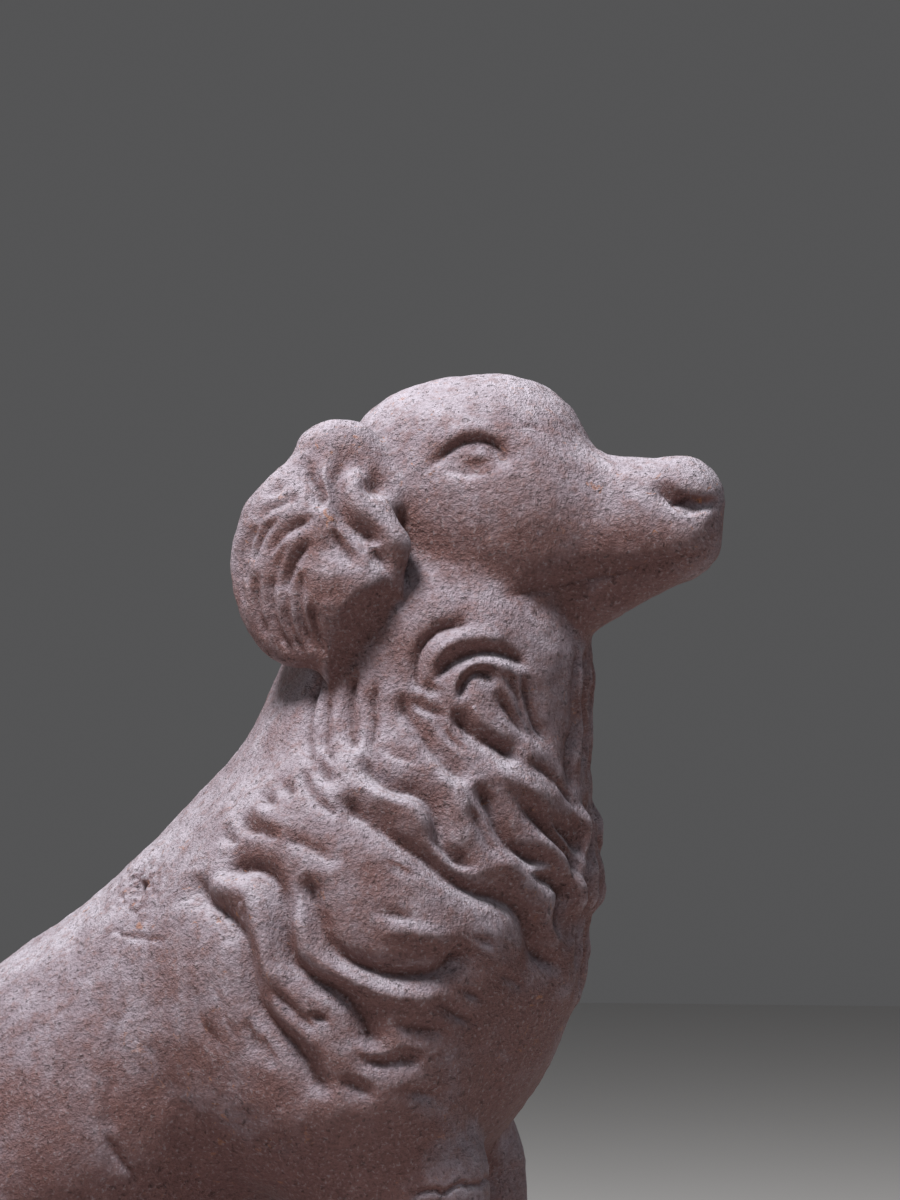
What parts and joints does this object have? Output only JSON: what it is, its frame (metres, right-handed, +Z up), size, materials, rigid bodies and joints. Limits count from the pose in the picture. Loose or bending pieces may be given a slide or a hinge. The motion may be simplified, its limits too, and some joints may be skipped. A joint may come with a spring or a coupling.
{
  "type": "dog statue",
  "caption": "Seated long-haired dog statue in weathered cast iron, with hanging ears, a wavy ruff and a curled tail, on a low rectangular plinth.",
  "frame": {"origin": "middle of the plinth's underside", "axes": "+X the way the dog's body faces, +Y to the dog's left, +Z up"},
  "size_m": [0.724, 0.3974, 0.8286],
  "materials": {
    "dog": "rough, oxide-coated and weathered",
    "base": "rough, oxide-coated and weathered"
  },
  "bodies": {
    "root": {"dog": "dog", "base": "base"}
  },
  "joints": []
}
